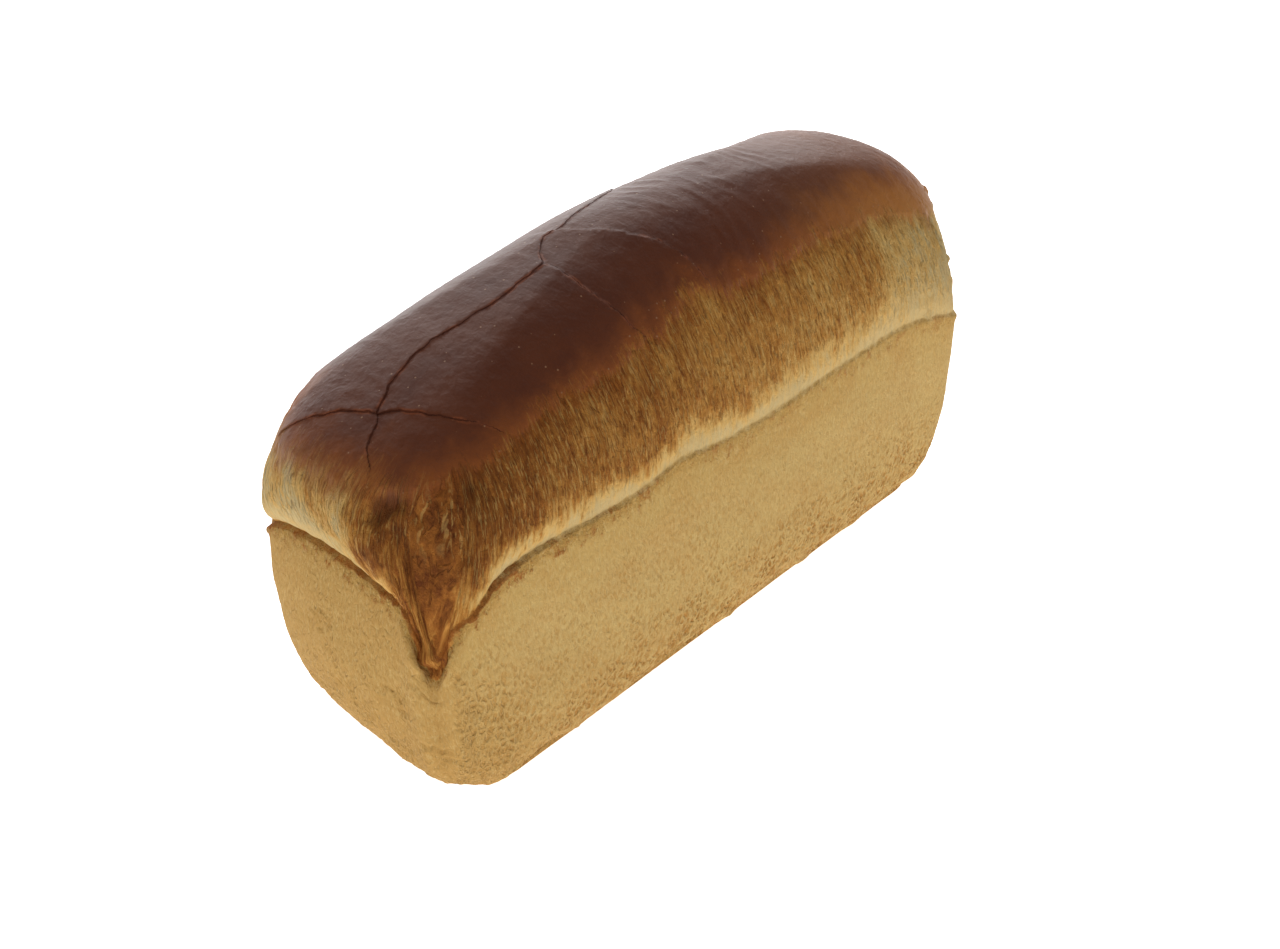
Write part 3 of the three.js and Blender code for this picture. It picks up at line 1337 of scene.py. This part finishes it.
    @staticmethod
    def twisted(g: FinishGraph, place: Any, size: float, reach: float) -> Any:
        """Wanders a position a little, so that cells are not even.

        Args:
            g: The graph.
            place: Position on the loaf.
            size: Size of the wander, in metres.
            reach: How far it moves a place, in metres.

        Returns:
            The moved position.
        """
        centred = g.vector("SUBTRACT", g.noise(place, size).link("Color"), (0.5,) * 3)
        return g.vector("ADD", place, g.vector("MULTIPLY", centred, (2.0 * reach,) * 3))

    def band(self, g: FinishGraph, at: CrustReads) -> tuple[Any, Value]:
        """Colour and fine relief of the torn band.

        Args:
            g: The graph.
            at: What the finish reads.

        Returns:
            The colour and the height of the relief.
        """
        strand, along, climb, crust, corner = at.strand, at.along, at.climb, at.crust, at.corner
        blotch = g.grain(at.place, self.band_blotch, 4.0, 0.6)
        ropes = g.grain(strand, self.rope_grain, 3.0, 0.6, 0.5)
        fibres = g.grain(strand, self.fibre_grain, 4.0, 0.68, 0.6)
        hairs = g.grain(strand, self.hair_grain, 2.0, 0.6, 0.8)
        slits = g.grain(strand, self.slit_grain, 2.0, 0.55, 0.7)
        crumb = g.grain(at.place, self.crumb_grain, 4.0, 0.68, 0.5)
        edge = (ropes - 0.5) * 0.017 + (blotch - 0.5) * 0.018
        right = along.ease(-0.12, 0.13)
        at_end = along.ease(-0.118, -0.134)
        lift = ((climb + edge) / (0.015 + right * 0.010 + at_end * 0.004)).ease(0.10, 1.0)
        scorched = (crust + edge).ease(-0.022, 0.0)
        far_end = along.ease(0.06, 0.14)
        baked = lift * 0.56 + scorched * 0.10 - (right * 0.26 + far_end * 0.30) * lift + 0.05
        baked = baked + (corner.ease(0.060, 0.025) * 0.12 - far_end * 0.05) * lift
        baked = baked - at_end * corner.ease(0.018, 0.050) * 0.46 * lift
        uneven = (blotch - 0.5) * (0.55 + at_end * 0.8) + (ropes - 0.5) * 0.35
        baked = baked + uneven * (0.15 + 0.85 * lift)
        baked = baked + ((fibres - 0.5) * 0.75 + (crumb - 0.5) * 0.40) * (0.35 + 0.65 * lift)
        torn_lip = climb.ease(0.0035, 0.0005) * at_end
        baked = baked + torn_lip * (0.25 + crumb * 0.6)
        pulled = (at.tissue * 1.5).least(1.0)
        baked = baked.most(pulled * (0.66 + (fibres - 0.5) * 1.5 + (ropes - 0.5) * 0.9))
        # Dark slits are painted shade in the gaps between fibres; the pale threads are partly paler
        # crumb and partly painted highlight on the fibres.
        slit = slits.ease(0.43, 0.36) * (0.26 + 0.74 * lift.most(pulled))
        thread_and_highlight = hairs.ease(0.54, 0.62) * (0.45 + 0.55 * lift)
        ramp = g.ramp(
            baked,
            (0.0, self.cream),
            (0.2, self.torn_pale),
            (0.45, self.torn_gold),
            (0.70, self.torn_brown),
            (1.0, self.torn_dark),
        )
        colour = g.tinted(
            ramp,
            (self.torn_dark, slit * (0.42 - far_end * 0.22)),
            (self.torn_pale, thread_and_highlight * (0.42 - pulled * 0.42).most(0.0)),
            (self.edge_orange, (crust + edge).ease(-0.008, 0.002) * 0.5),
        )
        relief = (ropes - 0.5) * 0.0014 + (fibres - 0.5) * 0.0018 + (hairs - 0.5) * 0.0007
        relief = relief + (crumb - 0.5) * 0.0014 - slit * 0.0007
        return colour, relief * (0.4 + 0.6 * lift)

    def crown(self, g: FinishGraph, at: CrustReads) -> tuple[Any, Value, Value]:
        """Colour and fine relief of the dark crown, and where its cracks run.

        Args:
            g: The graph.
            at: What the finish reads.

        Returns:
            The colour, the height of the relief and the cracks.
        """
        place = at.place
        mottle = g.grain(place, self.crown_mottle, 4.0, 0.55)
        ragged = at.crust + g.stray(place, 0.014, 0.014, 4.0, 0.6)
        far = at.along.ease(0.02, 0.13)
        warm = (ragged - far * 0.010).ease(0.011, -0.003)
        dots = g.cells(place, self.speck_cell)
        size = g.node("ShaderNodeSeparateColor", inputs={0: dots.link("Color")}).value(0)
        speck = (dots.value("Distance") / (0.05 + 0.10 * size)).ease(1.0, 0.5) * size.ease(0.35, 0.7)
        wobble = g.stray(place, 0.002, 0.0005, 2.0)
        nearest = reduce(Value.least, [abs(crack + wobble) for crack in at.cracks])
        faded = at.close.ease(0.25, 0.7)
        # The crack line is painted shade in each crack's narrow gap.
        line = nearest.ease(0.00036, 0.00014) * faded
        bared = nearest.ease(0.0013, 0.0005) * faded * g.grain(place, 0.006, 2.0).ease(0.45, 0.6)
        colour = g.tinted(
            self.crown_brown,
            (self.crown_dark, mottle.ease(0.35, 0.7)),
            (self.far_brown, far * 0.7),
            (self.edge_orange, warm * 0.88),
            (self.far_gold, (ragged - 0.004).ease(0.014, -0.002) * far),
            (self.speck, speck * 0.6),
            (self.raw_edge, bared * 0.6),
            (self.gap, line * 0.70),
        )
        pores = g.cells(place, self.pore_cell).value("Distance")
        relief = g.stray(place, self.leather_grain, 0.00070, 4.0, 0.55, 0.6)
        relief = relief + g.stray(place, self.swell_grain, 0.0010, 3.0, 0.5, 0.5) + pores * 0.00012
        return colour, relief + speck * 0.0001 - line * 0.0003, line


# ---- The loaf ---------------------------------------------------------------------------------


@dataclass
class Loaf:
    """The whole loaf as one closed skin."""

    form: LoafForm = LoafForm()
    walls: TinWalls = TinWalls()
    band: TornBand = TornBand()
    crust: CrownCrust = CrownCrust()
    finish: BakedFinish = BakedFinish()
    cell: float = 0.75
    quick_cell: float = 1.4
    base_below: float = 0.02
    most_triangles: int = 192_000
    name: str = "loaf_crust"

    def build(self) -> bpy.types.Object:
        """Makes the skin, with all its relief.

        Returns:
            The loaf, at its place in the frame.
        """
        cell = self.cell
        top = self.form.block.rim + self.form.crown.rise
        sizes = (2 * self.form.block.half_length, 2 * self.form.block.half_width, top)
        loaf = cut_box(tuple(round(size / cell) for size in sizes))
        loaf.name = loaf.data.name = self.name
        skin = self.skin(loaf)
        relief = self.walls.relief(skin, self.form) + self.band.relief(skin, self.form)
        relief += self.crust.relief(skin, self.form)
        points = skin.placed + skin.normals * relief[:, None]
        on_base = skin.flat[:, 2] < self.base_below
        points[:, 2] = np.where(on_base, 0.0, np.maximum(points[:, 2], 0.0))
        points[:, 0] -= self.centre(skin.placed)
        write_points(loaf.data, points * MM)
        self.store(loaf.data, skin)
        self.thin(loaf)
        select_only(loaf)
        bpy.ops.object.shade_smooth()
        return loaf

    def skin(self, loaf: bpy.types.Object) -> Skin:
        """Casts the box onto the form and works out what the reliefs need."""
        flat = self.form.cast(read_rows(loaf.data.vertices, "co"))
        placed = self.form.bend(flat)
        write_points(loaf.data, placed)
        climb = flat[:, 2] - self.form.block.rim
        share = self.form.crown.share(flat, self.form.block)
        strand = self.form.strands(flat, climb)
        normals = read_rows(loaf.data.vertex_normals, "vector")
        skin = Skin(flat, placed, normals, climb, share, strand)
        skin.crust = self.crust.edge(skin, self.form)
        return skin

    @staticmethod
    def centre(points: Array) -> float:
        """The middle of the form's box along the loaf, which lies over the frame's origin."""
        return (points[:, 0].min() + points[:, 0].max()) / 2.0

    @staticmethod
    def store(mesh: bpy.types.Mesh, skin: Skin) -> None:
        """Stores on the mesh what the finish reads, with its lengths in metres."""
        write_attribute(mesh, "strand", skin.strand * MM)
        zones = np.column_stack([skin.crust * MM, skin.hollow, skin.pits])
        write_attribute(mesh, "zones", zones)
        write_attribute(mesh, "cracks", skin.cracks[:, :3] * MM)
        marks = np.column_stack([skin.cracks[:, 3] * MM, skin.close, skin.tissue])
        write_attribute(mesh, "marks", marks)

    def thin(self, loaf: bpy.types.Object) -> None:
        """Merges triangles where the skin is smooth, and keeps them where it is not."""
        triangles = 2 * len(loaf.data.polygons)
        if triangles > self.most_triangles:
            modifier = loaf.modifiers.new("thin", "DECIMATE")
            modifier.ratio = self.most_triangles / triangles
            select_only(loaf)
            bpy.ops.object.modifier_apply(modifier="thin")

    def dress(self, loaf: bpy.types.Object) -> None:
        """Gives the loaf its finish and its place in the frame."""
        loaf.data.materials.clear()
        loaf.data.materials.append(self.finish.build())
        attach(loaf, "root")
        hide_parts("loaf")


# ---- Studio -------------------------------------------------------------------------------------


@dataclass(frozen=True)
class SoftBox:
    """A square soft light that looks at the loaf."""

    name: str
    place: Triple
    side: float
    watts: float


@dataclass(frozen=True)
class Studio:
    """A plain pale table, soft light all round and the camera."""

    table_side: float = 6.0
    table_colour: Colour = (0.9, 0.9, 0.9)
    table_glow: float = 1.0
    sky: float = 0.36
    lens: float = 40.0
    aim: Triple = (-0.012, -0.010, 0.059)
    azimuth: float = -44.7
    elevation: float = 36.5
    roll: float = -1.5
    distance: float = 0.547
    sensor: float = 36.0
    clip: float = 0.01
    lights: tuple[SoftBox, ...] = (
        SoftBox("window_light", (0.8, 1.35, 0.85), 2.0, 34.0),
        SoftBox("fill_light", (-1.5, -0.6, 0.9), 1.2, 3.0),
    )

    def build(self) -> None:
        """Sets up the table, the lights and the camera."""
        self.table()
        self.sky_light()
        for light in self.lights:
            self.soft_box(light)
        self.camera()
        bpy.context.scene.view_settings.view_transform = "Standard"

    def table(self) -> None:
        """The pale table that the loaf stands on."""
        deselect()
        bpy.ops.mesh.primitive_plane_add(size=self.table_side, location=(0.0, 0.0, 0.0))
        table = bpy.context.object
        table.name = "table"
        g = FinishGraph(bpy.data.materials.new("pale_table"))
        g.surface(
            {
                "Base Color": self.table_colour,
                "Roughness": 0.9,
                "Emission Color": WHITE,
                "Emission Strength": self.table_glow,
            }
        )
        table.data.materials.append(g.owner)

    def sky_light(self) -> None:
        """Even white light from all round, with a plain white backdrop."""
        g = FinishGraph(bpy.data.worlds.new("white_room"))
        room, backdrop = (
            g.node("ShaderNodeBackground", inputs={"Color": WHITE, "Strength": strength})
            for strength in (self.sky, 1.0)
        )
        seen = g.node("ShaderNodeLightPath").link("Is Camera Ray")
        mix = g.node("ShaderNodeMixShader", inputs={0: seen, 1: room, 2: backdrop})
        g.node("ShaderNodeOutputWorld", inputs={"Surface": mix})
        bpy.context.scene.world = g.owner

    @staticmethod
    def soft_box(light: SoftBox) -> None:
        """Adds one soft light, turned towards the loaf."""
        data = bpy.data.lights.new(light.name, "AREA")
        data.shape = "SQUARE"
        data.size = light.side
        data.energy = light.watts
        lamp = bpy.data.objects.new(light.name, data)
        lamp.location = light.place
        lamp.rotation_euler = (-Vector(light.place)).to_track_quat("-Z", "Y").to_euler()
        bpy.context.collection.objects.link(lamp)

    def camera(self) -> None:
        """Adds the camera, a little rolled, looking down on the near left corner."""
        turn, tilt = math.radians(self.azimuth), math.radians(self.elevation)
        back = Vector(
            (math.sin(turn) * math.cos(tilt), -math.cos(turn) * math.cos(tilt), math.sin(tilt))
        )
        data = bpy.data.cameras.new("camera")
        data.lens = self.lens
        data.sensor_width = self.sensor
        data.clip_start = self.clip
        camera = bpy.data.objects.new("camera", data)
        camera.location = Vector(self.aim) + back * self.distance
        facing = (-back).to_track_quat("-Z", "Y").to_matrix()
        rolled = facing @ Matrix.Rotation(math.radians(self.roll), 3, "Z")
        camera.rotation_euler = rolled.to_euler()
        bpy.context.collection.objects.link(camera)
        bpy.context.scene.camera = camera


def main() -> None:
    """Builds the loaf and the studio in order, and reports each piece."""
    logging.basicConfig(level=logging.INFO, format="%(name)s: %(message)s")
    maker = Loaf()
    loaf = maker.build()
    maker.dress(loaf)
    log.info("%s: %d faces", loaf.name, len(loaf.data.polygons))
    studio = Studio()
    studio.build()
    log.info("studio: table, %d soft lights, camera", len(studio.lights))


if __name__ == "__main__":
    main()
